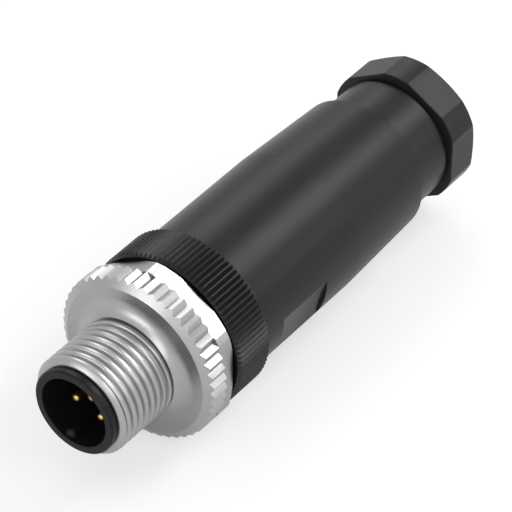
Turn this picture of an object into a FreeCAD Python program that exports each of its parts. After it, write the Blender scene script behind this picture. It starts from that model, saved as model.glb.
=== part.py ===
import FreeCAD, Part

import math
import os
import re

import Sketcher

# Field-wireable M12 cable plug with five pins, lying on its side.
# The axis runs along Y: the mating face points to -Y, the cable leaves to +Y.
# Stations are distances along the axis from the front face of the shroud.
# The origin is on the axis, in the middle of the M12 thread.
# Clock angles are in degrees from +X towards +Z, about the axis.

DIMENSIONS = {
    "overall_length": 62.65,
    # coupling screw, nickel plated brass
    "thread_radius": 5.97,
    "thread_lead": 1.75,
    "thread_length": 6.2,
    "undercut_depth": 0.52,
    "undercut_width": 0.45,
    "screw_wall": 0.67,
    "dish_step": 0.18,
    "dish_depth": 0.79,
    "dish_fillet": 2.4,
    "flange_thickness": 0.86,
    "knurl_step": 0.3,
    "knurl_depth": 0.54,
    "knurl_chamfer": 0.71,
    "knurl_chamfer_width": 1.09,
    "knurl_length": 2.91,
    "knurl_teeth": 52,
    "knurl_clock": 0.4,
    "screw_flat_depth": 1.14,
    "screw_hex_clock": 29.5,
    "screw_hex_length": 2.15,
    "screw_hex_chamfer": 0.6,
    "screw_hex_chamfer_width": 0.87,
    # contact carrier, moulded
    "shroud_wall": 0.51,
    "rim_inset": 0.81,
    "rim_width": 0.85,
    "rim_chamfer": 0.18,
    "rim_show": 0.19,
    "carrier_radius": 6.85,
    "shoulder_height": 1.05,
    "shoulder_width": 1.55,
    "skirt_length": 5.8,
    "skirt_wall": 1.38,
    "key_clock": -106.0,
    "key_radius": 0.75,
    "key_height": 0.6,
    "key_setback": 0.35,
    "tab_clock": 90.0,
    "tab_height": 0.7,
    "tab_width": 1.6,
    "tab_length": 1.3,
    # contacts and their insulator
    "pin_setback": 2.75,
    "pin_radius": 0.5,
    "pin_tip_fillet": 0.4,
    "pin_shank_radius": 0.75,
    "pin_circle_radius": 2.45,
    "recess_depth": 10.4,
    "insert_neck": 2.55,
    "insert_overhang": 3.4,
    "barrel_radius": 1.3,
    "barrel_length": 5.0,
    "barrel_inset": 0.4,
    "centre_barrel_length": 3.6,
    "centre_barrel_gap": 0.2,
    "wire_bore_radius": 0.7,
    "wire_bore_depth": 3.2,
    "terminal_setback": 1.6,
    "terminal_screw_radius": 0.8,
    "terminal_screw_length": 2.2,
    "terminal_slot_width": 0.3,
    "terminal_slot_depth": 0.4,
    "terminal_well_gap": 0.1,
    # knurled collar, the union ring on the carrier
    "collar_length": 5.6,
    "collar_wall": 1.16,
    "collar_chamfer": 0.6,
    "collar_lip": 0.85,
    "collar_recess_depth": 0.4,
    "collar_recess_inset": 0.89,
    "groove_depth": 0.22,
    "groove_count": 99,
    "groove_clock": 2.6,
    "groove_land": 0.22,
    "groove_floor": 0.38,
    # sleeve
    "spigot_height": 0.7,
    "spigot_wall": 1.2,
    "sleeve_step": 0.84,
    "sleeve_cone": 13.25,
    "sleeve_end_radius": 8.46,
    "sleeve_chamfer": 0.2,
    "flats_across": 17.1,
    "flats_setback": 3.65,
    "flats_length": 7.9,
    "flats_clock": -16.0,
    "web_thickness": 1.2,
    "gland_depth": 11.95,
    "gland_wall": 0.83,
    "gland_mouth_depth": 2.55,
    # seals
    "oring_setback": 2.0,
    "oring_section": 0.88,
    "oring_groove_width": 1.1,
    "seal_length": 2.95,
    "seal_bevel": 0.5,
    "seal_travel": 1.5,
    # clamp cage and gland nut
    "cable_radius": 3.7,
    "cage_flange": 1.2,
    "cage_finger_length": 7.0,
    "cage_finger_wall": 0.6,
    "cage_straight": 2.8,
    "cage_taper": 0.75,
    "cage_slots": 10,
    "cage_slot_width": 0.8,
    "cage_slot_web": 0.6,
    "shank_wall": 0.97,
    "neck_step": 0.55,
    "neck_overlap": 0.75,
    "neck_length": 6.45,
    "neck_relief": 0.3,
    "neck_relief_width": 0.5,
    "nut_hex_length": 4.45,
    "nut_flats": 16.0,
    "nut_corner_radius": 8.46,
    "nut_hex_clock": 29.75,
    "nut_chamfer": 0.3,
    "cable_hole_chamfer": 0.5,
    # gaps between the pieces
    "running_gap": 0.08,
    "face_gap": 0.05,
    "contact_gap": 0.02,
    "rim_gap": 0.1,
    "collar_gap": 0.15,
    "sleeve_gap": 0.1,
    "skirt_gap": 0.15,
    "cage_gap": 0.13,
    "cable_gap": 0.4,
    "web_gap": 1.0,
}

# Radii and stations that follow from the dimensions, from the outside in and from front to rear.
PLACES = {
    "undercut_radius": "thread_radius - undercut_depth",
    "screw_bore": "undercut_radius - screw_wall",
    "shroud_radius": "screw_bore - running_gap",
    "recess_radius": "shroud_radius - shroud_wall",
    "rim_radius": "thread_radius - rim_inset",
    "screw_front_radius": "rim_radius + rim_show",
    "dish_radius": "thread_radius + dish_step",
    "dish_end_radius": "dish_radius + dish_depth",
    "screw_counterbore": "carrier_radius + running_gap",
    "shoulder_radius": "carrier_radius + shoulder_height",
    "spigot_radius": "shoulder_radius + spigot_height",
    "collar_bore": "spigot_radius + running_gap",
    "collar_radius": "collar_bore + collar_wall",
    "knurl_radius": "collar_radius + knurl_step",
    "screw_flats": "2 * (knurl_radius - screw_flat_depth)",
    "band_bore": "screw_flats / 2 - 0.4",
    "flange_front_radius": "knurl_radius - knurl_chamfer_width",
    "collar_recess_radius": "collar_radius - collar_recess_inset",
    "sleeve_radius": "collar_radius - sleeve_step",
    "sleeve_bore": "spigot_radius - spigot_wall",
    "skirt_radius": "sleeve_bore - skirt_gap",
    "insert_seat": "skirt_radius - skirt_wall",
    "insert_radius": "insert_seat - face_gap",
    "oring_outside": "sleeve_bore - face_gap",
    "oring_floor": "oring_outside - oring_section - contact_gap",
    "gland_mouth_bore": "sleeve_end_radius - gland_wall",
    "neck_radius": "gland_mouth_bore - running_gap",
    "shank_radius": "neck_radius - neck_step",
    "gland_bore": "shank_radius + running_gap",
    "nut_bore": "shank_radius - shank_wall",
    "finger_radius": "nut_bore - running_gap",
    "finger_tip_radius": "finger_radius - cage_taper",
    "cage_bore": "finger_tip_radius - cage_finger_wall",
    "cable_hole_radius": "cable_radius + cable_gap",
    "web_bore": "cable_radius + web_gap",
    "nut_end": "overall_length",
    "nut_hex_front": "nut_end - nut_hex_length",
    "sleeve_end": "nut_hex_front - neck_length",
    "neck_start": "sleeve_end - neck_overlap",
    "cone_start": "sleeve_end - sleeve_cone",
    "web_end": "sleeve_end - gland_depth",
    "web_front": "web_end - web_thickness",
    "screw_front": "rim_width + rim_gap",
    "thread_start": "screw_front + thread_lead",
    "thread_end": "thread_start + thread_length",
    "dish_start": "thread_end + undercut_width",
    "flange_front": "dish_start + dish_depth",
    "carrier_front": "flange_front + flange_thickness",
    "knurl_end": "flange_front + knurl_length",
    "screw_end": "knurl_end + screw_hex_length",
    "collar_front": "screw_end + collar_gap",
    "collar_end": "collar_front + collar_length",
    "lip_front": "collar_front + collar_recess_depth",
    "lip_end": "lip_front + collar_lip",
    "shoulder_front": "lip_end + face_gap",
    "shoulder_end": "shoulder_front + shoulder_width",
    "skirt_end": "shoulder_end + skirt_length",
    "oring_station": "shoulder_end + oring_setback",
    "insert_step": "carrier_front + insert_neck",
    "insert_end": "skirt_end + insert_overhang",
    "barrel_end": "insert_end - barrel_inset",
    "barrel_start": "barrel_end - barrel_length",
    "centre_barrel_start": "insert_end + centre_barrel_gap",
    "centre_barrel_end": "centre_barrel_start + centre_barrel_length",
    "sleeve_front": "shoulder_end + sleeve_gap",
    "sleeve_start": "collar_end + sleeve_gap",
    "flats_start": "collar_end + flats_setback",
    "seal_front": "web_end + face_gap",
    "seal_end": "seal_front + seal_length",
    "cage_front": "seal_end + seal_travel",
    "cage_step": "cage_front + cage_flange",
    "finger_taper": "cage_step + cage_straight",
    "finger_end": "cage_step + cage_finger_length",
    "shank_front": "cage_step + face_gap",
    "datum": "(thread_start + thread_end) / 2",
}

OUTER_PIN_OFFSETS = (45, 135, 225, 315)
OVERSHOOT = 1.0
EDGE_MATCH = 1e-4

doc = FreeCAD.newDocument("m12_connector")
sub_parts = []


def bound(text):
    """Write an expression on the names above as one on the cells of the two sheets."""
    def cell(word):
        name = word.group()
        sheet_name = "Sizes." if name in DIMENSIONS else "Places." if name in PLACES else ""
        return sheet_name + name
    return re.sub(r"[a-z]+[a-z_]*", cell, text)


def fill_sheet(name, cells):
    """Spreadsheet with one alias a row, beside its number or formula."""
    sheet = doc.addObject("Spreadsheet::Sheet", name)
    for row, (alias, content) in enumerate(cells.items(), start=1):
        sheet.set("A%d" % row, alias)
        sheet.set("B%d" % row, content)
        sheet.setAlias("B%d" % row, alias)
    doc.recompute()
    return sheet


sizes = fill_sheet("Sizes", {alias: str(number) for alias, number in DIMENSIONS.items()})
fill_sheet("Places", {alias: "=" + re.sub("Places[.]", "", bound(text))
                      for alias, text in PLACES.items()})


def value(text):
    """Work out an expression on the names above, in millimetres or degrees."""
    return float(sizes.evalExpression(bound(text)))


def bind(item, name, text):
    item.setExpression(name, bound(text))


def put(item, station="0", radius="0", clock="0", side="0"):
    """Put an object's own origin at a station, a radius, a clock angle and a sideways offset."""
    bind(item, "Placement.Base.x", "(%s) * cos((%s) * 1deg) - (%s) * sin((%s) * 1deg)"
         % (radius, clock, side, clock))
    bind(item, "Placement.Base.y", "%s - datum" % station)
    bind(item, "Placement.Base.z", "(%s) * sin((%s) * 1deg) + (%s) * cos((%s) * 1deg)"
         % (radius, clock, side, clock))


def sub_part(item, label):
    item.Label = label
    sub_parts.append(item)


def origin_plane(body, role):
    return [item for item in body.Origin.OriginFeatures if item.Role == role][0]


def outline(body, name, points):
    """Closed sketch of straight lines through (radius, station) corners, each bound to the sheets."""
    sketch = body.newObject("Sketcher::SketchObject", name)
    sketch.AttachmentSupport = [(origin_plane(body, "XY_Plane"), "")]
    sketch.MapMode = "FlatFace"
    corners = [FreeCAD.Vector(value(radius), value(station), 0) for radius, station in points]
    count = len(points)
    for index in range(count):
        sketch.addGeometry(Part.LineSegment(corners[index], corners[(index + 1) % count]))
    for index in range(count):
        sketch.addConstraint(Sketcher.Constraint("Coincident", index, 2, (index + 1) % count, 1))
    for index, (radius, station) in enumerate(points):
        for kind, axis, text in (("DistanceX", -2, radius), ("DistanceY", -1, station)):
            if text == "0":
                sketch.addConstraint(Sketcher.Constraint("PointOnObject", index, 1, axis))
                continue
            number = sketch.addConstraint(Sketcher.Constraint(kind, -1, 1, index, 1, value(text)))
            sketch.renameConstraint(number, "%s_%d" % (kind.lower(), index))
            sketch.setExpression("Constraints[%d]" % number, bound(text))
    return sketch


def turned(name, points):
    """Body turned about the axis from an outline of (radius, station) corners."""
    body = doc.addObject("PartDesign::Body", name)
    sketch = outline(body, name + "_outline", points)
    revolution = body.newObject("PartDesign::Revolution", name + "_turned")
    revolution.Profile = sketch
    revolution.ReferenceAxis = (sketch, ["V_Axis"])
    revolution.Angle = 360
    put(body)
    return body


def slot(body, points, length, copies=1):
    """Cut a profile right through a body, and repeat the cut round the axis."""
    sketch = outline(body, body.Name + "_slot_outline", points)
    pocket = body.newObject("PartDesign::Pocket", body.Name + "_slot")
    pocket.Profile = sketch
    pocket.SideType = "Symmetric"
    bind(pocket, "Length", length)
    body.Tip = pocket
    if copies > 1:
        pattern = body.newObject("PartDesign::PolarPattern", body.Name + "_slots")
        pattern.Originals = [pocket]
        pattern.Axis = (origin_plane(body, "Y_Axis"), [""])
        pattern.Occurrences = copies
        pattern.Angle = 180 - 180 / copies
        body.Tip = pattern


def round_ring(body, name, radius, station, size):
    """Fillet the circular edge of a radius that lies at a station."""
    doc.recompute()
    base = body.Tip
    names = []
    for number, edge in enumerate(base.Shape.Edges, start=1):
        curve = edge.Curve
        if not isinstance(curve, Part.Circle):
            continue
        if max(abs(curve.Radius - value(radius)), abs(curve.Center.y - value(station))) < EDGE_MATCH:
            names.append("Edge%d" % number)
    fillet = body.newObject("PartDesign::Fillet", name)
    fillet.Base = (base, names)
    bind(fillet, "Radius", size)
    body.Tip = fillet


def polar(radius, clock, station):
    angle = math.radians(clock)
    return FreeCAD.Vector(radius * math.cos(angle), station, radius * math.sin(angle))


def toothed(name, teeth, crest, root, crest_share, root_share, clock, start, end):
    """Prism with teeth round it, made longer than needed for a turned envelope to trim."""
    pitch = 360.0 / teeth
    corners = []
    for tooth in range(teeth):
        middle = clock + tooth * pitch
        for side in ((-0.5, 0.5) if crest_share else (0,)):
            corners.append(polar(crest, middle + side * crest_share * pitch, -OVERSHOOT))
        for side in ((-0.5, 0.5) if root_share else (0,)):
            corners.append(polar(root, middle + (0.5 + side * root_share) * pitch, -OVERSHOOT))
    face = Part.Face(Part.makePolygon(corners + corners[:1]))
    prism = doc.addObject("Part::Feature", name)
    prism.Shape = face.extrude(FreeCAD.Vector(0, value(end) - value(start) + 2 * OVERSHOOT, 0))
    put(prism, start)
    return prism


def along(clock):
    """Rotation that lays a primitive's Z axis along Y and its X axis at a clock angle."""
    turn = FreeCAD.Rotation(FreeCAD.Vector(0, 1, 0), -clock)
    return turn.multiply(FreeCAD.Rotation(FreeCAD.Vector(1, 0, 0), -90))


def outward(axis, clock):
    """Rotation that lays one of a primitive's axes along the radius at a clock angle."""
    return FreeCAD.Rotation(axis, polar(1, clock, 0))


def primitive(kind, name, lengths, rotation, station, radius="0", clock="0", side="0"):
    """Part primitive with its sizes and place bound to the sheets."""
    item = doc.addObject(kind, name)
    for length, text in lengths.items():
        bind(item, length, text)
    item.Placement.Rotation = rotation
    put(item, station, radius, clock, side)
    return item


def common(name, base, tool):
    item = doc.addObject("Part::Common", name)
    item.Base = base
    item.Tool = tool
    return item


def fused(name, shapes):
    item = doc.addObject("Part::MultiFuse", name)
    item.Shapes = shapes
    item.Refine = True
    return item


def cut(name, base, tools):
    """Cut one or more tools from a base."""
    tool = tools[0]
    if len(tools) > 1:
        tool = doc.addObject("Part::MultiFuse", name + "_tools")
        tool.Shapes = tools
    item = doc.addObject("Part::Cut", name)
    item.Base = base
    item.Tool = tool
    return item


def hexagon(name, flats, start, end, clock):
    """Hexagonal prism with a corner at a clock angle."""
    lengths = {"Circumradius": "%s / 2 / cos(30deg)" % flats, "Height": "%s - %s" % (end, start)}
    prism = primitive("Part::Prism", name, lengths, along(value(clock)), start)
    prism.Polygon = 6
    return prism


def make_coupling_screw():
    """One turned piece: lead-in, plain thread blank, undercut, dished flange, knurl and hexagon."""
    core = turned("screw_core", [
        ("screw_bore", "screw_front"),
        ("screw_front_radius", "screw_front"),
        ("thread_radius", "thread_start"),
        ("thread_radius", "thread_end"),
        ("undercut_radius", "thread_end"),
        ("undercut_radius", "dish_start"),
        ("dish_radius", "dish_start"),
        ("dish_end_radius", "flange_front"),
        ("flange_front_radius", "flange_front"),
        ("flange_front_radius", "knurl_end"),
        ("band_bore + 0.1", "knurl_end"),
        ("band_bore + 0.1", "screw_end"),
        ("screw_counterbore", "screw_end"),
        ("screw_counterbore", "carrier_front - face_gap"),
        ("screw_bore", "carrier_front - face_gap"),
    ])
    round_ring(core, "dish_fillet", "dish_end_radius", "flange_front", "min(dish_fillet; 3.2 * dish_depth)")
    knurl_envelope = turned("knurl_envelope", [
        ("band_bore", "flange_front"),
        ("flange_front_radius", "flange_front"),
        ("flange_front_radius + 1.5 * knurl_chamfer_width", "flange_front + 1.5 * knurl_chamfer"),
        ("flange_front_radius + 1.5 * knurl_chamfer_width", "knurl_end"),
        ("band_bore", "knurl_end"),
    ])
    teeth = toothed("knurl_teeth", int(value("knurl_teeth")), value("knurl_radius"),
                    value("knurl_radius - knurl_depth"), 0, 0, value("knurl_clock"),
                    "flange_front", "knurl_end")
    hex_envelope = turned("screw_hex_envelope", [
        ("band_bore", "knurl_end"),
        ("knurl_radius", "knurl_end"),
        ("knurl_radius", "screw_end - screw_hex_chamfer"),
        ("knurl_radius - screw_hex_chamfer_width", "screw_end"),
        ("band_bore", "screw_end"),
    ])
    prism = hexagon("screw_hex_prism", "screw_flats", "knurl_end", "screw_end", "screw_hex_clock")
    pieces = [core, common("knurl_band", teeth, knurl_envelope), common("screw_hex", prism, hex_envelope)]
    sub_part(fused("screw", pieces), "coupling_screw")


def make_contact_carrier():
    """Moulded carrier: shroud with its rim and coding key, shoulder, anti-turn tab and skirt."""
    housing = turned("carrier_housing", [
        ("recess_radius", "0"),
        ("rim_radius - rim_chamfer", "0"),
        ("rim_radius", "rim_chamfer"),
        ("rim_radius", "rim_width"),
        ("shroud_radius", "rim_width"),
        ("shroud_radius", "carrier_front"),
        ("carrier_radius", "carrier_front"),
        ("carrier_radius", "shoulder_front"),
        ("shoulder_radius", "shoulder_front"),
        ("shoulder_radius", "shoulder_end"),
        ("skirt_radius", "shoulder_end"),
        ("skirt_radius", "oring_station - oring_groove_width / 2"),
        ("oring_floor", "oring_station - oring_groove_width / 2"),
        ("oring_floor", "oring_station + oring_groove_width / 2"),
        ("skirt_radius", "oring_station + oring_groove_width / 2"),
        ("skirt_radius", "skirt_end"),
        ("insert_seat", "skirt_end"),
        ("insert_seat", "insert_step"),
        ("recess_radius", "insert_step"),
    ])
    key_middle = "recess_radius - key_height + key_radius"
    key_front = "key_setback + key_radius"
    rib = primitive("Part::Cylinder", "key_rib",
                    {"Radius": "key_radius", "Height": "recess_depth - key_setback - key_radius - face_gap"},
                    along(0), key_front, key_middle, "key_clock")
    nose = primitive("Part::Sphere", "key_nose", {"Radius": "key_radius"},
                     along(0), key_front, key_middle, "key_clock")
    limit = primitive("Part::Cylinder", "key_limit",
                      {"Radius": "(recess_radius + shroud_radius) / 2", "Height": "recess_depth"},
                      along(0), "0")
    key = common("coding_key", fused("key_solid", [rib, nose]), limit)
    tab = primitive("Part::Box", "anti_turn_tab",
                    {"Length": "tab_height + 0.3", "Width": "tab_width", "Height": "tab_length"},
                    along(value("tab_clock")), "shoulder_end", "skirt_radius - 0.3", "tab_clock",
                    "tab_width / 2")
    sub_part(fused("carrier", [housing, key, tab]), "contact_carrier")


def make_contact_insert():
    """Insulator with a stepped hole and a screw well for each outer contact."""
    block = turned("insert_block", [
        ("0", "recess_depth"),
        ("recess_radius - face_gap", "recess_depth"),
        ("recess_radius - face_gap", "insert_step + face_gap"),
        ("insert_radius", "insert_step + face_gap"),
        ("insert_radius", "insert_end"),
        ("0", "insert_end"),
    ])
    hole = {"Radius": "pin_shank_radius + contact_gap", "Height": "insert_end - recess_depth + 2"}
    tools = [primitive("Part::Cylinder", "centre_hole", hole, along(0), "recess_depth - 1")]
    for number, offset in enumerate(OUTER_PIN_OFFSETS, start=1):
        clock = "key_clock + %d" % offset
        tools.append(primitive("Part::Cylinder", "pin_hole_%d" % number, hole, along(0),
                               "recess_depth - 1", "pin_circle_radius", clock))
        tools.append(primitive("Part::Cylinder", "barrel_pocket_%d" % number,
                               {"Radius": "barrel_radius + contact_gap",
                                "Height": "barrel_length + barrel_inset + contact_gap + 1"},
                               along(0), "barrel_start - contact_gap", "pin_circle_radius", clock))
        tools.append(primitive("Part::Cylinder", "screw_well_%d" % number,
                               {"Radius": "terminal_screw_radius + terminal_well_gap",
                                "Height": "insert_radius"},
                               outward(FreeCAD.Vector(0, 0, 1), value(clock)),
                               "barrel_end - terminal_setback", "pin_circle_radius", clock))
    sub_part(cut("insert", block, tools), "contact_insert")


def make_contact(number, radius, clock, start, end):
    """Turned contact with a rounded tip, a thicker shank and a barrel, and its terminal screw."""
    pin = turned("pin_%d" % number, [
        ("0", "pin_setback"),
        ("pin_radius", "pin_setback"),
        ("pin_radius", "recess_depth"),
        ("pin_shank_radius", "recess_depth"),
        ("pin_shank_radius", start),
        ("barrel_radius", start),
        ("barrel_radius", end),
        ("wire_bore_radius", end),
        ("wire_bore_radius", "%s - wire_bore_depth" % end),
        ("0", "%s - wire_bore_depth" % end),
    ])
    round_ring(pin, "pin_tip_%d" % number, "pin_radius", "pin_setback",
               "min(pin_tip_fillet; 0.9 * pin_radius)")
    put(pin, "0", radius, clock)
    angle = value(clock)
    screw_station = "%s - terminal_setback" % end
    thread = primitive("Part::Cylinder", "terminal_hole_%d" % number,
                       {"Radius": "terminal_screw_radius + contact_gap", "Height": "2 * barrel_radius"},
                       outward(FreeCAD.Vector(0, 0, 1), angle), screw_station, radius, clock)
    sub_part(cut("contact_%d" % number, pin, [thread]), "contact_pin_%d" % number)

    screw = turned("terminal_%d" % number, [
        ("0", "0"),
        ("terminal_screw_radius", "0"),
        ("terminal_screw_radius", "terminal_screw_length"),
        ("0", "terminal_screw_length"),
    ])
    slot(screw, [
        ("-terminal_slot_width / 2", "terminal_screw_length - terminal_slot_depth"),
        ("terminal_slot_width / 2", "terminal_screw_length - terminal_slot_depth"),
        ("terminal_slot_width / 2", "terminal_screw_length + terminal_slot_depth"),
        ("-terminal_slot_width / 2", "terminal_screw_length + terminal_slot_depth"),
    ], "4 * terminal_screw_radius")
    screw.Placement.Rotation = outward(FreeCAD.Vector(0, 1, 0), angle)
    put(screw, screw_station, "%s + wire_bore_radius" % radius, clock)
    sub_part(screw, "terminal_screw_%d" % number)


def make_contacts():
    for number, offset in enumerate(OUTER_PIN_OFFSETS, start=1):
        make_contact(number, "pin_circle_radius", "key_clock + %d" % offset, "barrel_start", "barrel_end")
    make_contact(5, "0", "key_clock", "centre_barrel_start", "centre_barrel_end")


def make_sleeve_seal():
    ring = primitive("Part::Torus", "oring",
                     {"Radius1": "oring_outside - oring_section / 2", "Radius2": "oring_section / 2"},
                     along(0), "oring_station")
    sub_part(ring, "sleeve_seal")


def make_knurled_collar():
    """Union ring: finely grooved outside, with a lip that holds the carrier by its shoulder."""
    envelope = turned("collar_envelope", [
        ("screw_counterbore", "lip_front"),
        ("collar_recess_radius", "lip_front"),
        ("collar_recess_radius", "collar_front"),
        ("collar_radius - collar_chamfer", "collar_front"),
        ("collar_radius + collar_chamfer", "collar_front + 2 * collar_chamfer"),
        ("collar_radius + collar_chamfer", "collar_end"),
        ("collar_bore", "collar_end"),
        ("collar_bore", "lip_end"),
        ("screw_counterbore", "lip_end"),
    ])
    grooves = toothed("collar_grooves", int(value("groove_count")), value("collar_radius"),
                      value("collar_radius - groove_depth"), value("groove_land"),
                      value("groove_floor"), value("groove_clock"), "collar_front", "collar_end")
    sub_part(common("collar", grooves, envelope), "knurled_collar")


def make_sleeve():
    """Body of the plug: spigot, cylinder and cone outside, wiring space, web and gland bore inside."""
    shell = turned("sleeve_shell", [
        ("sleeve_bore", "sleeve_front"),
        ("spigot_radius", "sleeve_front"),
        ("spigot_radius", "sleeve_start"),
        ("sleeve_radius", "sleeve_start"),
        ("sleeve_radius", "cone_start"),
        ("sleeve_end_radius", "sleeve_end - sleeve_chamfer"),
        ("sleeve_end_radius - sleeve_chamfer", "sleeve_end"),
        ("gland_mouth_bore", "sleeve_end"),
        ("gland_mouth_bore", "sleeve_end - gland_mouth_depth"),
        ("gland_bore", "sleeve_end - gland_mouth_depth"),
        ("gland_bore", "web_end"),
        ("web_bore", "web_end"),
        ("web_bore", "web_front"),
        ("sleeve_bore", "web_front"),
    ])
    flat = {"Length": "sleeve_radius", "Width": "2 * sleeve_radius", "Height": "flats_length"}
    tools = []
    for number, turn in enumerate((0, 180), start=1):
        clock = "flats_clock + %d" % turn
        tools.append(primitive("Part::Box", "wrench_flat_%d" % number, flat, along(value(clock)),
                               "flats_start", "flats_across / 2", clock, "sleeve_radius"))
    tools.append(primitive("Part::Box", "tab_notch",
                           {"Length": "tab_height + skirt_gap", "Width": "tab_width + 2 * running_gap",
                            "Height": "tab_length + running_gap + 1"},
                           along(value("tab_clock")), "shoulder_end - 1",
                           "skirt_radius - skirt_gap / 2 + running_gap", "tab_clock",
                           "tab_width / 2 + running_gap"))
    sub_part(cut("sleeve_cut", shell, tools), "sleeve")


def make_cable_seal():
    outside = "gland_bore - face_gap"
    seal = turned("seal_ring", [
        ("cable_radius + seal_bevel", "seal_front"),
        (outside, "seal_front"),
        (outside, "seal_end - seal_bevel"),
        (outside + " - seal_bevel", "seal_end"),
        ("cable_radius + seal_bevel", "seal_end"),
        ("cable_radius", "seal_end - seal_bevel"),
        ("cable_radius", "seal_front + seal_bevel"),
    ])
    sub_part(seal, "cable_seal")


def make_clamp_cage():
    """Plastic cage: a flange that pushes the seal, and tapered fingers between slots."""
    cage = turned("cage", [
        ("cage_bore", "cage_front"),
        ("gland_bore - cage_gap", "cage_front"),
        ("gland_bore - cage_gap", "cage_step"),
        ("finger_radius", "cage_step"),
        ("finger_radius", "finger_taper"),
        ("finger_tip_radius", "finger_end"),
        ("cage_bore", "finger_end"),
    ])
    slot(cage, [
        ("-cage_slot_width / 2", "cage_step + cage_slot_web"),
        ("cage_slot_width / 2", "cage_step + cage_slot_web"),
        ("cage_slot_width / 2", "finger_end + 1"),
        ("-cage_slot_width / 2", "finger_end + 1"),
    ], "3 * gland_bore", int(value("cage_slots")) // 2)
    sub_part(cage, "clamp_cage")


def make_gland_nut():
    """Clamping nut: shank, round neck and hexagon, with a tapered seat for the cage's fingers."""
    core = turned("nut_core", [
        ("nut_bore", "shank_front"),
        ("shank_radius", "shank_front"),
        ("shank_radius", "neck_start"),
        ("neck_radius", "neck_start"),
        ("neck_radius", "nut_hex_front - neck_relief_width"),
        ("neck_radius - neck_relief", "nut_hex_front - neck_relief_width"),
        ("neck_radius - neck_relief", "nut_end"),
        ("cable_hole_radius + cable_hole_chamfer", "nut_end"),
        ("cable_hole_radius", "nut_end - cable_hole_chamfer"),
        ("cable_hole_radius", "finger_end + face_gap"),
        ("finger_tip_radius + running_gap", "finger_end + face_gap"),
        ("nut_bore", "finger_taper"),
    ])
    head_bore = "neck_radius - neck_relief - 0.2"
    head_envelope = turned("nut_hex_envelope", [
        (head_bore, "nut_hex_front"),
        ("nut_corner_radius", "nut_hex_front"),
        ("nut_corner_radius", "nut_end - nut_chamfer"),
        ("nut_corner_radius - nut_chamfer", "nut_end"),
        (head_bore, "nut_end"),
    ])
    prism = hexagon("nut_hex_prism", "nut_flats", "nut_hex_front", "nut_end", "nut_hex_clock")
    sub_part(fused("nut", [core, common("nut_hex", prism, head_envelope)]), "gland_nut")


def check_document():
    """Stop on any feature that failed, and on any sub-part whose shape is not one sound solid."""
    for item in doc.Objects:
        if "Invalid" in item.State or "Error" in item.State:
            raise RuntimeError("%s failed to compute" % item.Name)
    for item in sub_parts:
        shape = item.Shape
        if shape.isNull() or not shape.isValid() or len(shape.Solids) != 1:
            raise RuntimeError("%s has no sound solid" % item.Label)


def main():
    make_coupling_screw()
    make_contact_carrier()
    make_contact_insert()
    make_contacts()
    make_sleeve_seal()
    make_knurled_collar()
    make_sleeve()
    make_cable_seal()
    make_clamp_cage()
    make_gland_nut()
    doc.recompute()
    check_document()
    os.makedirs("parts", exist_ok=True)
    for item in sub_parts:
        item.Shape.exportStep("parts/%s.step" % item.Label)
        print("%-18s %10.2f mm3" % (item.Label, item.Shape.Volume))


main()
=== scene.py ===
"""Looks of a field-wireable M12 cable plug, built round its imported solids."""
import math

import bmesh
import bpy
import numpy as np
from bpy.props import FloatProperty, FloatVectorProperty, IntProperty, PointerProperty
from mathutils import Matrix, Vector


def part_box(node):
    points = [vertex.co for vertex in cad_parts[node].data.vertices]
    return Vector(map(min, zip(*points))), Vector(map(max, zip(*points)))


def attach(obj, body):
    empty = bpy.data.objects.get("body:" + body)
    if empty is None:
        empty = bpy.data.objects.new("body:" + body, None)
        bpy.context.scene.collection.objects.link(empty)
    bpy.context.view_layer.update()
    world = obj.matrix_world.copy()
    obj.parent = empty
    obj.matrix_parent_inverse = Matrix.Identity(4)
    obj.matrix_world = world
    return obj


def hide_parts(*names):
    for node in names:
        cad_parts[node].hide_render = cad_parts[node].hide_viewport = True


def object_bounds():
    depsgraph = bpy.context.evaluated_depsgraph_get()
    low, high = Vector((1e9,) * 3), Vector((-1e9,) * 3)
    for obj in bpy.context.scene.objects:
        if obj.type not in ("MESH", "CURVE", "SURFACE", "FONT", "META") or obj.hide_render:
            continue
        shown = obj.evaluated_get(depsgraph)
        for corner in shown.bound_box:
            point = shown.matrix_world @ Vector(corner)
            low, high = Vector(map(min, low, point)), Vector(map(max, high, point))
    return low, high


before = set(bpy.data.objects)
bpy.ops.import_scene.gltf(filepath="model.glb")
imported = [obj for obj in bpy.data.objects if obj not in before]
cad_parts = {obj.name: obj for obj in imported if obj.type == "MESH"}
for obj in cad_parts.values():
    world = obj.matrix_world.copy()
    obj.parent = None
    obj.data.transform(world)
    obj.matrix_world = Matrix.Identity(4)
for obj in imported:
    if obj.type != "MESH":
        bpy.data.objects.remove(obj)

bl_info = {
    "name": "M12 cable plug looks",
    "version": (1, 0, 0),
    "blender": (4, 5, 0),
    "location": "View3D > Sidebar > Cable plug",
    "description": "Dresses the packed solids of a five-pin M12 cable plug",
    "category": "Object",
}

# Lengths in the shell builders are in millimetres. A station is the distance along the axis
# from the front face of the shroud, and a clock angle runs from +X towards +Z.
MM = 0.001
BOX_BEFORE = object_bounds()
DATUM = -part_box("contact_carrier")[0].y / MM
SCREW_BORE = 4.78     # inside the coupling screw, round the shroud
SCREW_RECESS = 6.93   # inside the rear of the coupling screw, and the front bore of the collar
PLASTIC_PITCH = 1.0   # of the threads on the sleeve and the gland nut
CREST_FLAT = 0.14     # half width of a thread's crest, as a share of the pitch
ROOT_FLAT = 0.04      # half width of its root, as a share of the pitch
GUARD = 0.06          # from a rounding to the ring that keeps its shading off the straight beyond


def front_of(node):
    """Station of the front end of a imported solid."""
    return round(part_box(node)[0].y / MM + DATUM, 4)


def rear_of(node):
    """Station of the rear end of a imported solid."""
    return round(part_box(node)[1].y / MM + DATUM, 4)


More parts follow.
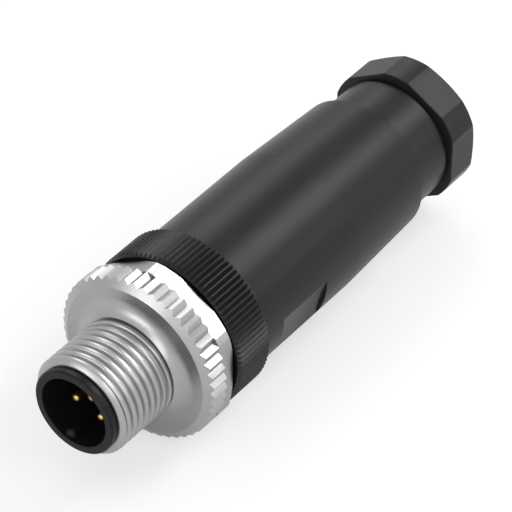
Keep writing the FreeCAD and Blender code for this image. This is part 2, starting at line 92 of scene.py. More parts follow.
def radius_of(node):
    """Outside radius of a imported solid, from its widest reach off the axis."""
    low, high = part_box(node)
    return round(max(-low.x, high.x, -low.z, high.z) / MM, 2)


def length(name, description, default):
    """Property that holds a length. Its default is given in millimetres."""
    return FloatProperty(name=name, description=description, default=default * MM, min=0.0,
                         unit="LENGTH", subtype="DISTANCE", precision=5)


def clock(name, description, default):
    """Property that holds a clock angle. Its default is given in degrees."""
    return FloatProperty(name=name, description=description, default=math.radians(default),
                         unit="ROTATION", subtype="ANGLE")


def colour(name, description, default):
    """Property that holds a colour."""
    return FloatVectorProperty(name=name, description=description, default=default, size=3,
                               min=0.0, max=1.0, subtype="COLOR")


def share(name, description, default):
    """Property that holds a number between 0 and 1."""
    return FloatProperty(name=name, description=description, default=default, min=0.0, max=1.0,
                         subtype="FACTOR")


class CouplingSizes(bpy.types.PropertyGroup):
    """Sizes of the plated coupling screw."""
    thread_radius: length("Thread radius", "Outside radius of the M12 thread", 5.97)
    thread_pitch: length("Thread pitch", "Distance from crest to crest", 1.0)
    thread_depth: length("Thread depth", "Height of a crest above the root", 0.46)
    thread_clock: clock("Thread start", "Clock angle of the crest at the datum", 50.0)
    knurl_radius: length("Knurl radius", "Radius over the crests of the knurl", 10.14)
    knurl_depth: length("Knurl depth", "Height of a knurl crest", 0.41)
    knurl_teeth: IntProperty(name="Knurl teeth", description="Crests round the knurl", default=50, min=12)
    knurl_clock: clock("Knurl start", "Clock angle of one knurl crest", 5.0)
    flats: length("Hexagon flats", "Size across the flats of the hexagon", 18.0)
    hexagon_clock: clock("Hexagon corner", "Clock angle of one corner", 29.5)
    hexagon_length: length("Hexagon length", "From the knurl to the rear face", 2.4)


class BodySizes(bpy.types.PropertyGroup):
    """Sizes of the moulded pieces."""
    groove_count: IntProperty(name="Collar grooves", description="Fine grooves round the collar",
                              default=96, min=12)
    groove_depth: length("Groove depth", "Depth of the collar's grooves", 0.33)
    groove_clock: clock("Groove start", "Clock angle of one land", 0.7)
    key_clock: clock("Coding key", "Clock angle of the key in the shroud", -106.0)
    key_radius: length("Key radius", "Radius of the half-round key", 0.75)
    key_height: length("Key height", "How far the key stands into the recess", 0.6)
    flats_across: length("Wrench flats", "Distance across the two flats of the sleeve", 17.1)
    flats_clock: clock("Wrench flat", "Clock angle of one flat", -16.0)
    nut_flats: length("Nut flats", "Size across the flats of the gland nut", 16.0)
    nut_corner: length("Nut corner radius", "Radius over the rounded corners of the nut", 8.46)
    nut_clock: clock("Nut corner", "Clock angle of one corner", 29.75)


class FinishSettings(bpy.types.PropertyGroup):
    """Colours and roughness of the finishes."""
    nickel: colour("Nickel", "Satin nickel plating", (0.345, 0.345, 0.343))
    nickel_roughness: share("Nickel roughness", "Roughness of the plating", 0.31)
    gold: colour("Gold", "Gold plating of the contacts", (0.62, 0.40, 0.14))
    black: colour("Black plastic", "Moulded black plastic", (0.010, 0.0098, 0.0098))
    plastic_roughness: share("Plastic roughness", "Roughness of the moulded grain", 0.36)
    rubber: colour("Rubber", "Seal rubber", (0.012, 0.012, 0.012))
    zinc: colour("Zinc", "Bright zinc on the terminal screws", (0.62, 0.63, 0.64))


class StageSettings(bpy.types.PropertyGroup):
    """Lens, floor and light."""
    lens: FloatProperty(name="Lens", description="Focal length of the camera, in millimetres",
                        default=225.0, min=10.0)
    floor: colour("Floor", "Pale studio floor", (0.93, 0.93, 0.93))
    floor_glow: share("Floor glow", "How far the floor shows as plain white", 0.55)
    daylight: share("World light", "Strength of the even light from all round", 0.62)
    lamp_strength: FloatProperty(name="Lamp strength", description="Factor on all the lamps",
                                 default=1.0, min=0.0)


# Geometry: shells are closed stacks of rings, each a radius and a station at every clock angle.

def even_clocks(count, start=0.0):
    """Clock angles spread evenly round, from a start."""
    return start + np.arange(count) * 2 * math.pi / count


def with_clocks(clocks, extra):
    """Clock angles with some more of them let in, in order and without near doubles."""
    joined = np.sort(np.concatenate([clocks, extra]) % (2 * math.pi))
    keep = np.concatenate([[True], np.diff(joined) > 1e-5])
    return joined[keep]


def turn_from(clocks, middle):
    """Angle of each clock from a middle, between minus and plus half a turn."""
    return (clocks - middle + math.pi) % (2 * math.pi) - math.pi


def tooth_place(clocks, count, start):
    """Place of each clock within its tooth, 0 at a crest and 0.5 in the middle of a gap."""
    phase = ((clocks - start) * count / (2 * math.pi)) % 1.0
    return np.minimum(phase, 1.0 - phase)


def hexagon_radius(clocks, across, corner_clock):
    """Radius of a regular hexagon at each clock angle."""
    away = (clocks - corner_clock) % (math.pi / 3) - math.pi / 6
    return across / 2 / np.cos(away)


def flat_ends(across, corner_clock, radius):
    """Clock angles at which the flats of a hexagon reach a radius."""
    middles = corner_clock + math.radians(30) + np.arange(6) * math.pi / 3
    half = math.acos(across / 2 / radius)
    return np.concatenate([middles - half, middles + half])


def softened(corners, steps):
    """Open profile of (radius, station, edge radius) corners with its inner corners rounded off."""
    result = []
    last = len(corners) - 1
    for index, (radius, station, edge) in enumerate(corners):
        if edge <= 0 or index in (0, last):
            result.append((radius, station))
            continue
        here = np.array([radius, station], float)
        before = np.array(corners[index - 1][:2], float) - here
        after = np.array(corners[index + 1][:2], float) - here
        reach = min(np.linalg.norm(before), np.linalg.norm(after))
        before /= np.linalg.norm(before)
        after /= np.linalg.norm(after)
        inside = math.acos(float(np.clip(before @ after, -1, 1)))
        nearly_straight = math.pi - 0.02
        if inside > nearly_straight:
            result.append((radius, station))
            continue
        cut_back = min(edge / math.tan(inside / 2), 0.48 * reach)
        bend = [here + before * cut_back * (1 - step / steps) ** 2 + after * cut_back * (step / steps) ** 2
                for step in range(steps + 1)]
        if cut_back + GUARD < 0.45 * reach:
            bend = [here + before * (cut_back + GUARD), *bend, here + after * (cut_back + GUARD)]
        result += [tuple(point.tolist()) for point in bend]
    return result


def spaced(start, end, step):
    """Stations from a start to an end, no further apart than a step."""
    return np.linspace(start, end, max(2, int(math.ceil(abs(end - start) / step)) + 1))


def add_shell(name, clocks, rings, sharp):
    """Mesh object of a closed shell, smooth below a sharp angle in degrees.

    The radius and the station of a ring are each one number, or one number for every clock angle.
    """
    count = len(clocks)
    rows = []
    for radius, station in rings:
        radius = np.broadcast_to(np.asarray(radius, float), (count,))
        station = np.broadcast_to(np.asarray(station, float), (count,))
        rows.append(np.stack([radius * np.cos(clocks), station - DATUM, radius * np.sin(clocks)], 1))
    points = np.concatenate(rows) * MM
    faces = []
    for ring in range(len(rows)):
        low, high = ring * count, ((ring + 1) % len(rows)) * count
        for side in range(count):
            turn = (side + 1) % count
            faces.append((low + side, low + turn, high + turn, high + side))
    mesh = bpy.data.meshes.new(name)
    mesh.from_pydata(points.tolist(), [], faces)
    piece = bpy.data.objects.new(name, mesh)
    bpy.context.scene.collection.objects.link(piece)
    tidy_mesh(mesh, sharp)
    return piece


def tidy_mesh(mesh, sharp):
    """Close up doubled points, point the normals outwards and shade smooth below the sharp angle."""
    work = bmesh.new()
    work.from_mesh(mesh)
    bmesh.ops.remove_doubles(work, verts=work.verts, dist=2e-7)
    bmesh.ops.dissolve_degenerate(work, edges=work.edges, dist=1e-8)
    bmesh.ops.recalc_face_normals(work, faces=work.faces)
    work.to_mesh(mesh)
    work.free()
    mesh.shade_smooth()
    mesh.set_sharp_from_angle(angle=math.radians(sharp))


def thread_height(clocks, station, pitch, start_clock):
    """Share of the thread's depth that is cut away: 0 on the crest, 1 in the root."""
    place = ((station - DATUM) / pitch + (clocks - start_clock) / (2 * math.pi)) % 1.0
    away = np.minimum(place, 1.0 - place)
    flank = np.clip((away - CREST_FLAT) / (0.5 - CREST_FLAT - ROOT_FLAT), 0.0, 1.0)
    return flank - 0.06 * np.sin(2 * math.pi * flank)


def threaded(clocks, start, end, radius, depth, pitch, start_clock, limit, step):
    """Rings of a right-hand thread between two stations, kept under the limit radius of each."""
    rings = []
    for station in spaced(start, end, step):
        crest = radius - depth * thread_height(clocks, station, pitch, start_clock)
        rings.append((np.minimum(crest, limit(station)), station))
    return rings


def thread_limit(front, end, crest, root, lead_in_radius, lead_in_slope, run_out_slope=2.0):
    """Radius at each station under a thread's lead-in cone, its crests and its run-out to the root."""
    def limit(station):
        lead_in = lead_in_radius + (station - front) * lead_in_slope
        run_out = root + max(0.0, end - station) * run_out_slope
        return min(crest, lead_in, run_out)
    return limit


# Finishes: node trees written as expressions.

class Value:
    """A shader socket that takes part in arithmetic: every operator adds a Math node."""

    def __init__(self, finish, socket):
        self.finish = finish
        self.socket = socket

    def maths(self, operation, first, second):
        return self.finish.node("ShaderNodeMath", {"operation": operation}, {0: first, 1: second})

    def __add__(self, other):
        return self.maths("ADD", self, other)

    def __radd__(self, other):
        return self.maths("ADD", other, self)

    def __sub__(self, other):
        return self.maths("SUBTRACT", self, other)

    def __rsub__(self, other):
        return self.maths("SUBTRACT", other, self)

    def __mul__(self, other):
        return self.maths("MULTIPLY", self, other)

    def __rmul__(self, other):
        return self.maths("MULTIPLY", other, self)

    def __pow__(self, other):
        return self.maths("POWER", self, other)

    def __rpow__(self, other):
        return self.maths("POWER", other, self)

    def at_least(self, other):
        return self.maths("MAXIMUM", self, other)

    def sibling(self, output):
        """Another output of the same node."""
        return Value(self.finish, self.socket.node.outputs[output])


class Finish:
    """A node tree under construction."""

    def __init__(self, owner):
        owner.use_nodes = True
        self.owner = owner
        self.tree = owner.node_tree
        self.tree.nodes.clear()

    def node(self, kind, settings=None, sockets=None, output=0):
        """Add a node: its settings first, then the values or links of its sockets."""
        added = self.tree.nodes.new(kind)
        for key, setting in (settings or {}).items():
            setattr(added, key, setting)
        for key, content in (sockets or {}).items():
            socket = added.inputs[key]
            if isinstance(content, Value):
                self.tree.links.new(content.socket, socket)
            elif hasattr(content, "__len__") and len(content) == 3 and len(socket.default_value) == 4:
                socket.default_value = (*content, 1.0)
            else:
                socket.default_value = content
        return Value(self, added.outputs[output]) if len(added.outputs) else None

    def position(self):
        """Place on the object, in metres."""
        return self.node("ShaderNodeTexCoord", output="Object")

    def turned(self, position):
        """Distance from the axis and place along it, for marks that run round the axis."""
        parts = self.node("ShaderNodeSeparateXYZ", sockets={0: position})
        x, y, z = (parts.sibling(axis) for axis in "XYZ")
        return self.node("ShaderNodeCombineXYZ", sockets={"X": (x * x + z * z) ** 0.5, "Y": y})

    def noise(self, vector, scale, detail=2.0, rough=0.5):
        """Noise between 0 and 1, with its scale in features a metre."""
        return self.node("ShaderNodeTexNoise", {"noise_dimensions": "3D"},
                         {"Vector": vector, "Scale": scale, "Detail": detail, "Roughness": rough})

    def blend(self, factor, first, second):
        """Mix of two colours."""
        return self.node("ShaderNodeMix", {"data_type": "RGBA"}, {0: factor, 6: first, 7: second}, 2)

    def bump(self, height, distance, strength):
        """Normal of a surface raised by a height between 0 and 1, times a distance in metres."""
        sockets = {"Height": height, "Distance": distance, "Strength": strength}
        return self.node("ShaderNodeBump", sockets=sockets, output="Normal")

    def surface(self, sockets):
        """Close the tree with a Principled surface and give back its material."""
        shader = self.node("ShaderNodeBsdfPrincipled", sockets=sockets)
        self.node("ShaderNodeOutputMaterial", sockets={"Surface": shader})
        return self.owner


def scaled(tone, factor):
    """A colour made lighter or darker."""
    return tuple(min(1.0, channel * factor) for channel in tone)


def nickel_finish():
    """Satin nickel: fine turning marks round the axis, and faint clouding."""
    look = bpy.context.scene.plug_finishes
    finish = Finish(bpy.data.materials.new("satin_nickel"))
    position = finish.position()
    marks = finish.noise(finish.turned(position), 12000.0, 3.0, 0.6)
    clouds = finish.noise(position, 420.0, 3.0, 0.55)
    grain = finish.noise(position, 9000.0, 2.0, 0.5)
    tone = finish.blend(clouds, scaled(look.nickel, 0.92), scaled(look.nickel, 1.08))
    roughness = look.nickel_roughness - 0.05 + marks * 0.08 + clouds * 0.04
    return finish.surface({
        "Base Color": tone, "Metallic": 1.0, "Roughness": roughness,
        "Normal": finish.bump(marks * 0.85 + grain * 0.15, 0.01 * MM, 1.0),
    })


def gold_finish():
    """Gold plating with a few softer patches."""
    look = bpy.context.scene.plug_finishes
    finish = Finish(bpy.data.materials.new("contact_gold"))
    position = finish.position()
    clouds = finish.noise(position, 1500.0, 3.0, 0.5)
    tone = finish.blend(clouds, scaled(look.gold, 0.93), scaled(look.gold, 1.06))
    return finish.surface({
        "Base Color": tone, "Metallic": 1.0, "Roughness": 0.26 + clouds * 0.1,
        "Normal": finish.bump(finish.noise(position, 9000.0), 0.004 * MM, 0.4),
    })


def plastic_finish(name, tint=1.0, rough=0.0, sheen=0.17):
    """Black moulded plastic with a fine spark-eroded grain."""
    grain_size = 0.12 * MM
    look = bpy.context.scene.plug_finishes
    finish = Finish(bpy.data.materials.new(name))
    position = finish.position()
    grain = finish.noise(position, 1.0 / grain_size, 2.0, 0.6)
    clouds = finish.noise(position, 260.0, 3.0, 0.5)
    tone = finish.blend(clouds, scaled(look.black, 0.88 * tint), scaled(look.black, 1.12 * tint))
    roughness = look.plastic_roughness + rough - 0.06 + clouds * 0.06 + grain * 0.06
    return finish.surface({
        "Base Color": tone, "Roughness": roughness, "Specular IOR Level": sheen,
        "Normal": finish.bump(grain, 0.01 * MM, 0.35),
    })


def rubber_finish():
    """Dull black rubber."""
    look = bpy.context.scene.plug_finishes
    finish = Finish(bpy.data.materials.new("seal_rubber"))
    position = finish.position()
    grain = finish.noise(position, 5200.0, 3.0, 0.6)
    tone = finish.blend(grain, scaled(look.rubber, 0.8), scaled(look.rubber, 1.3))
    return finish.surface({
        "Base Color": tone, "Roughness": 0.72 + grain * 0.1, "Specular IOR Level": 0.3,
        "Normal": finish.bump(grain, 0.02 * MM, 0.4),
    })


def zinc_finish():
    """Bright zinc on the terminal screws."""
    look = bpy.context.scene.plug_finishes
    finish = Finish(bpy.data.materials.new("bright_zinc"))
    position = finish.position()
    clouds = finish.noise(position, 2400.0, 3.0, 0.6)
    tone = finish.blend(clouds, scaled(look.zinc, 0.85), scaled(look.zinc, 1.1))
    return finish.surface({"Base Color": tone, "Metallic": 1.0, "Roughness": 0.28 + clouds * 0.15,
                           "Normal": finish.bump(clouds, 0.01 * MM, 0.3)})


def finish_named(name, make):
    """A finish is made once and shared."""
    return bpy.data.materials.get(name) or make()


def black_finish(slot):
    """The moulded plastic of one of the record's slots."""
    looks = {
        "collar_plastic": {"rough": -0.02},
        # The carrier's black is painted darker, as painted shade that holds down the front lamp's light on
        # its rim face.
        "carrier_plastic": {"tint": 0.6, "sheen": 0.15},
        "insert_plastic": {"tint": 0.5, "rough": 0.1, "sheen": 0.15},
        "cage_plastic": {"tint": 0.8, "rough": 0.05},
        "nut_plastic": {"tint": 1.15},
        "sleeve_plastic": {},
    }
    name = "grained_" + slot
    return finish_named(name, lambda: plastic_finish(name, **looks[slot]))


def settle(piece, body, material, stands_for=None):
    """Give a piece its finish, let it ride on its body, and hide the node it stands for."""
    piece.data.materials.append(material)
    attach(piece, body)
    if stands_for:
        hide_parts(stands_for)


def millimetres(group, *names):
    """Lengths of a property group, in millimetres."""
    return [getattr(group, name) / MM for name in names]


class PLUG_OT_coupling_thread(bpy.types.Operator):
    """Threaded barrel of the coupling screw, with its lead-in, helix and undercut"""
    bl_idname = "plug.coupling_thread"
    bl_label = "Coupling thread"

    def execute(self, context):
        sizes = context.scene.plug_coupling
        radius, pitch, depth = millimetres(sizes, "thread_radius", "thread_pitch", "thread_depth")
        front = front_of("coupling_screw")
        thread_start, thread_end, undercut_end = front + 0.5, 9.13, 9.4
        undercut = radius - 0.25
        clocks = even_clocks(216)
        limit = thread_limit(front, thread_end, radius, undercut, lead_in_radius=radius - 0.52,
                             lead_in_slope=1.0, run_out_slope=3.0)

        rings = [(SCREW_BORE, front + 0.12), (SCREW_BORE + 0.1, front), (limit(front) - 0.04, front)]
        rings += [(limit(station), station) for station in (front + 0.02, thread_start - 0.04)]
        rings += threaded(clocks, thread_start, thread_end, radius, depth, pitch, sizes.thread_clock,
                          limit, step=0.045)
        rings += [(undercut, undercut_end), (SCREW_BORE, undercut_end)]
        piece = add_shell("coupling_thread", clocks, rings, sharp=50.0)
        settle(piece, "coupling_screw", finish_named("satin_nickel", nickel_finish),
               "coupling_screw")
        return {"FINISHED"}


class PLUG_OT_coupling_flange(bpy.types.Operator):
    """Dished flange of the coupling screw, with its V knurl and its hexagon"""
    bl_idname = "plug.coupling_flange"
    bl_label = "Coupling flange"

    def execute(self, context):
        sizes = context.scene.plug_coupling
        knurl, depth, flats, hexagon_length = millimetres(
            sizes, "knurl_radius", "knurl_depth", "flats", "hexagon_length")
        dish_front, dish_radius, face, knurl_end = 9.2, 6.0, 10.14, 13.05
        end = knurl_end + hexagon_length
        fillet, fillet_foot, fillet_turn = 2.4, 7.934, math.radians(52)
        front_chamfer, front_chamfer_length = 1.09, 0.71
        rear_chamfer, rear_chamfer_length = 0.87, 0.6
        recess_floor = 10.9

        teeth = sizes.knurl_teeth
        clocks = with_clocks(even_clocks(teeth * 8, sizes.knurl_clock), np.concatenate([
            flat_ends(flats, sizes.hexagon_clock, knurl),
            flat_ends(flats, sizes.hexagon_clock, knurl - rear_chamfer)]))
        crest = knurl - depth * 2 * tooth_place(clocks, teeth, sizes.knurl_clock)
        hexagon = np.minimum(hexagon_radius(clocks, flats, sizes.hexagon_clock), knurl)

        rings = [(SCREW_BORE, dish_front), (dish_radius, dish_front)]
        for turn in np.linspace(fillet_turn, 0.0, 14):
            rings.append((fillet_foot - fillet * math.sin(turn), face - fillet * (1 - math.cos(turn))))
        # Each clock angle meets the chamfer's cone at its own station, so that the V grooves end in tips.
        tips = face + (crest - knurl + front_chamfer) * front_chamfer_length / front_chamfer
        rings += [(knurl - front_chamfer, face), (crest, tips), (crest, knurl_end - 0.04)]
        rings += [(crest - 0.04, knurl_end), (hexagon - 0.03, knurl_end), (hexagon, knurl_end + 0.03)]
        cut_back = rear_chamfer_length - (knurl - hexagon) * rear_chamfer_length / rear_chamfer
        rings.append((hexagon, end - np.maximum(0.0, cut_back)))
        rings += [(np.minimum(hexagon, knurl - rear_chamfer), end), (flats / 2 - 0.06, end)]
        rings += [(SCREW_RECESS + 0.03, end), (SCREW_RECESS, end - 0.03), (SCREW_RECESS, recess_floor)]
        rings.append((SCREW_BORE, recess_floor))
        piece = add_shell("coupling_flange", clocks, rings, sharp=24.0)
        settle(piece, "coupling_screw", finish_named("satin_nickel", nickel_finish))
        return {"FINISHED"}


class PLUG_OT_carrier(bpy.types.Operator):
    """Contact carrier: shroud with its rim and half-round key, shoulder, tab and skirt"""
    bl_idname = "plug.carrier"
    bl_label = "Contact carrier"

    def execute(self, context):
        sizes = context.scene.plug_body
        key_radius, key_height = millimetres(sizes, "key_radius", "key_height")
        bore, shroud, rim = 4.19, 4.70, 5.16
        body, shoulder, spigot, seal_seat, skirt_bore = 6.85, 7.9, 7.25, 6.45, 5.87
        rim_end, body_start, insert_face, insert_end = 0.85, 10.95, 10.38, 13.5
        shoulder_start, shoulder_end, seal_start, seal_end = 16.65, 18.2, 19.65, 20.75
        end = 24.0
        key_front, key_middle = 0.35, bore - key_height + key_radius
        spread = math.radians(13)
        clocks = with_clocks(even_clocks(180), sizes.key_clock + np.linspace(-spread, spread, 41))
        away = np.abs(turn_from(clocks, sizes.key_clock))

        def recess(station):
            """Radius of the recess, with the key standing into it behind its rounded nose."""
            back = max(0.0, key_front + key_radius - station)
            reach = math.sqrt(max(0.0, key_radius ** 2 - back ** 2))
            offset = key_middle * np.sin(away)
            near = key_middle * np.cos(away) - np.sqrt(np.maximum(0.0, reach ** 2 - offset ** 2))
            met = (offset < reach) & (away < spread)
            return np.where(met, np.minimum(near, bore), bore)

        # The stations draw closer together towards the front of the key's nose.
        stations = (insert_face, 8.0, 6.0, 4.0, 2.5, 1.6, 1.1, 0.95, 0.8, 0.66, 0.54, 0.45, 0.39, 0.36,
                    0.345)
        rings = [(recess(station), station) for station in stations]
        rings += [(bore, 0.06), (bore + 0.06, 0.0)]
        rings += softened([
            (bore + 0.1, 0.0, 0), (rim - 0.18, 0.0, 0.08), (rim, 0.18, 0.08), (rim, rim_end, 0.05),
            (shroud, rim_end, 0), (shroud, body_start, 0),
            (body, body_start, 0.05), (body, shoulder_start, 0),
            (shoulder, shoulder_start, 0.05), (shoulder, shoulder_end, 0.05),
            (spigot, shoulder_end, 0), (spigot, seal_start, 0.05),
            (seal_seat, seal_start, 0), (seal_seat, seal_end, 0),
            (spigot, seal_end, 0.05), (spigot, end, 0.1),
            (skirt_bore, end, 0.05), (skirt_bore, insert_end, 0),
        ], steps=3)
        rings.append((bore, insert_end))
        sharp = 34.0
        piece = add_shell("carrier_shroud", clocks, rings, sharp)
        add_block(piece, sharp, clock_degrees=90.0, radius=7.5, station=shoulder_end, size=(0.7, 1.3, 1.6))
        settle(piece, "carrier", black_finish("carrier_plastic"), "contact_carrier")
        return {"FINISHED"}


def add_block(piece, sharp, clock_degrees, radius, station, size):
    """Small bevelled block on a shell, such as the tab that keeps the carrier from turning."""
    turn = math.radians(clock_degrees)
    work = bmesh.new()
    place = (Matrix.Rotation(-turn, 4, "Y")
             @ Matrix.Translation(Vector((radius, station - DATUM + size[1] / 2, 0)) * MM)
             @ Matrix.Diagonal((size[0] * MM, size[1] * MM, size[2] * MM, 1)))
    bmesh.ops.create_cube(work, size=1.0, matrix=place)
    bmesh.ops.bevel(work, geom=work.edges[:], offset=0.06 * MM, segments=2, affect="EDGES")
    work.from_mesh(piece.data)
    work.to_mesh(piece.data)
    work.free()
    piece.data.shade_smooth()
    piece.data.set_sharp_from_angle(angle=math.radians(sharp))


class PLUG_OT_collar(bpy.types.Operator):
    """Knurled collar with its fine grooves, whose ends are scalloped by the front chamfer"""
    bl_idname = "plug.collar"
    bl_label = "Knurled collar"

    def execute(self, context):
        sizes = context.scene.plug_body
        depth, = millimetres(sizes, "groove_depth")
        front, end = front_of("knurled_collar") + 0.25, rear_of("knurled_collar")
        radius = radius_of("knurled_collar")
        count = sizes.groove_count
        land = 0.07
        # Places of the clock angles within one groove's share of the round, from the middle of a land.
        places = np.array([-land, 0.0, land, 0.18, 0.3, 0.42, 0.5, 0.58, 0.7, 0.82])
        step = 2 * math.pi / count
        starts = sizes.groove_clock + np.arange(count) * step
        clocks = np.sort((starts[:, None] + places[None, :] * step).ravel() % (2 * math.pi))
        place = tooth_place(clocks, count, sizes.groove_clock)
        crest = radius - depth * np.clip((place - land) / (0.5 - land), 0.0, 1.0)

        recess, recess_floor = radius - 0.44, front + 0.45
        web_end, thread_bore = recess_floor + 0.55, 8.68
        chamfer_foot, chamfer_slope = radius - 0.3, 1.5
        rings = [(SCREW_RECESS, recess_floor), (recess - 0.03, recess_floor), (recess, recess_floor - 0.03)]
        rings += [(recess, front + 0.03), (recess + 0.03, front)]
        rings += [(chamfer_foot - 0.04, front), (chamfer_foot, front + 0.02)]
        rings.append((crest, front + 0.02 + np.maximum(0.0, crest - chamfer_foot) * chamfer_slope))
        for station in (end - 0.16, end - 0.1, end - 0.04, end):
            rings.append((np.minimum(crest, radius - 0.16 + (end - station)), station))
        rings += [(thread_bore + 0.04, end), (thread_bore, end - 0.04), (thread_bore, web_end)]
        rings += [(SCREW_RECESS + 0.04, web_end), (SCREW_RECESS, web_end - 0.04)]
        piece = add_shell("grooved_collar", clocks, rings, sharp=28.0)
        settle(piece, "collar", black_finish("collar_plastic"), "knurled_collar")
        return {"FINISHED"}


class PLUG_OT_sleeve(bpy.types.Operator):
    """Sleeve: threaded spigot, cylinder and cone with two wrench flats, gland bore inside"""
    bl_idname = "plug.sleeve"
    bl_label = "Sleeve"

    def execute(self, context):
        sizes = context.scene.plug_body
        across, = millimetres(sizes, "flats_across")
        front, end, radius = front_of("sleeve"), rear_of("sleeve"), radius_of("sleeve")
        body_start, cone_start, cone_tip = 21.05, 38.5, 8.46
        flat_start, flat_end = 24.6, 32.5
        half = math.acos(across / 2 / radius)
        middles = sizes.flats_clock + np.array([0.0, math.pi])
        clocks = with_clocks(even_clocks(300), np.concatenate([middles - half, middles + half]))
        away = np.minimum(np.abs(turn_from(clocks, middles[0])), np.abs(turn_from(clocks, middles[1])))
        flat = np.where(away < half + 1e-6, across / 2 / np.cos(np.minimum(away, half)), radius)
        flat = np.minimum(radius, flat)
        flat_edge = np.minimum(radius, flat + 0.01)

        thread_clock, thread_depth, gland_thread_depth = 0.6, 0.5, 0.42
        spigot_bore, spigot_tip, spigot, spigot_root = 7.4, 8.28, 8.6, 8.1
        spigot_thread_end = body_start - 0.35
        rings = [(spigot_bore, front + 0.06), (spigot_bore + 0.06, front), (spigot_tip + 0.02, front)]
        limit = thread_limit(front, spigot_thread_end, spigot, spigot_root, lead_in_radius=spigot_tip,
                             lead_in_slope=0.8)
        rings += threaded(clocks, front + 0.03, spigot_thread_end, spigot, thread_depth, PLASTIC_PITCH,
                          thread_clock, limit, step=0.06)
        rings += [(spigot_root, body_start), (radius - 0.12, body_start)]
        rings += [(radius - 0.04, body_start + 0.03), (radius, body_start + 0.12)]
        rings += [(radius, body_start + 0.12 + GUARD), (radius, flat_start - 0.02)]
        rings += [(flat_edge, flat_start), (flat, flat_start + 0.03)]
        rings += [(flat, flat_end - 0.03), (flat_edge, flat_end), (radius, flat_end + 0.02)]

        gland_mouth, gland_wall, gland_thread_end = 7.63, 7.08, 44.0
        floor_front, floor_rear, floor_bore = 38.6, 39.8, 4.7
        rings += softened([
            (radius, flat_end + 0.1, 0), (radius, cone_start, 1.5),
            (cone_tip, end - 0.2, 0.12), (cone_tip - 0.2, end, 0.06),
            (gland_mouth + 0.04, end, 0.03), (gland_mouth, end - 0.04, 0), (gland_mouth, end - 2.55, 0),
        ], steps=5)
        rings += threaded(clocks, end - 2.6, gland_thread_end, gland_wall + 0.06, gland_thread_depth,
                          PLASTIC_PITCH, thread_clock, lambda station: gland_wall, step=0.12)
        rings += [(gland_wall, floor_rear), (floor_bore, floor_rear), (floor_bore, floor_front)]
        rings.append((spigot_bore, floor_front))
        piece = add_shell("sleeve_body", clocks, rings, sharp=30.0)
        settle(piece, "sleeve", black_finish("sleeve_plastic"), "sleeve")
        return {"FINISHED"}


class PLUG_OT_gland_nut(bpy.types.Operator):
    """Gland nut: threaded shank, smooth neck and chamfered hexagon"""
    bl_idname = "plug.gland_nut"
    bl_label = "Gland nut"

    def execute(self, context):
        sizes = context.scene.plug_body
        flats, corner = millimetres(sizes, "nut_flats", "nut_corner")
        front, end = front_of("gland_nut"), rear_of("gland_nut")
        clocks = with_clocks(even_clocks(240), flat_ends(flats, sizes.nut_clock, corner))
        head = np.minimum(hexagon_radius(clocks, flats, sizes.nut_clock), corner)

        neck_start, hexagon_front = 51.0, end - 4.45
        shank_thread_end, neck_end = neck_start - 0.3, hexagon_front - 0.5
        shank_bore, shank_tip, shank, shank_root, neck, neck_groove = 6.03, 6.55, 7.0, 6.5, 7.55, 7.25
        thread_clock, thread_depth = 0.3, 0.5
        rings = [(shank_bore, front + 0.05), (shank_bore + 0.05, front), (shank_tip + 0.05, front)]
        limit = thread_limit(front, shank_thread_end, shank, shank_root, lead_in_radius=shank_tip,
                             lead_in_slope=0.7)
        rings += threaded(clocks, front + 0.03, shank_thread_end, shank, thread_depth, PLASTIC_PITCH,
                          thread_clock, limit, step=0.06)
        rings += softened([
            (shank_root, neck_start, 0), (neck, neck_start, 0.08), (neck, neck_end, 0.06),
            (neck_groove, neck_end, 0.04), (neck_groove, hexagon_front, 0),
        ], steps=4)
        rings += [(head - 0.12, hexagon_front), (head - 0.04, hexagon_front + 0.03)]
        rings += [(head, hexagon_front + 0.12), (head, hexagon_front + 0.12 + GUARD)]

        # The rear chamfer is a flat cone that takes the corners down to the flats.
        chamfer_length, chamfer_slope = 0.28, 1.7
        for station in spaced(end - chamfer_length, end, 0.04):
            cone = corner - (station - end + chamfer_length) * chamfer_slope
            rings.append((np.minimum(head, cone), station))
        cable_bore, cone_foot, cone_start, cone_end = 4.1, 5.36, 48.3, 52.55
        rings += softened([
            (cable_bore + 0.6, end, 0), (cable_bore + 0.5, end, 0.05), (cable_bore, end - 0.5, 0.1),
            (cable_bore, cone_end, 0), (cone_foot, cone_end, 0), (shank_bore, cone_start, 0),
        ], steps=3)
        piece = add_shell("nut_body", clocks, rings, sharp=30.0)
        settle(piece, "gland_nut", black_finish("nut_plastic"), "gland_nut")
        return {"FINISHED"}


class PLUG_OT_inner_pieces(bpy.types.Operator):
    """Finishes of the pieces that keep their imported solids: insert, contacts, screws, seals and cage"""
    bl_idname = "plug.inner_pieces"
    bl_label = "Inner pieces"

    def execute(self, context):
        gold = finish_named("contact_gold", gold_finish)
        zinc = finish_named("bright_zinc", zinc_finish)
        rubber = finish_named("seal_rubber", rubber_finish)
        looks = {
            "contact_insert": black_finish("insert_plastic"),
            "clamp_cage": black_finish("cage_plastic"),
            "sleeve_seal": rubber,
            "cable_seal": rubber,
        }
        for number in range(1, 6):
            looks["contact_pin_%d" % number] = gold
            looks["terminal_screw_%d" % number] = zinc
        for name, material in looks.items():
            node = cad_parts[name]
            node.data.materials.clear()
            node.data.materials.append(material)
            node.data.shade_smooth()
            node.data.set_sharp_from_angle(angle=math.radians(30))
        return {"FINISHED"}


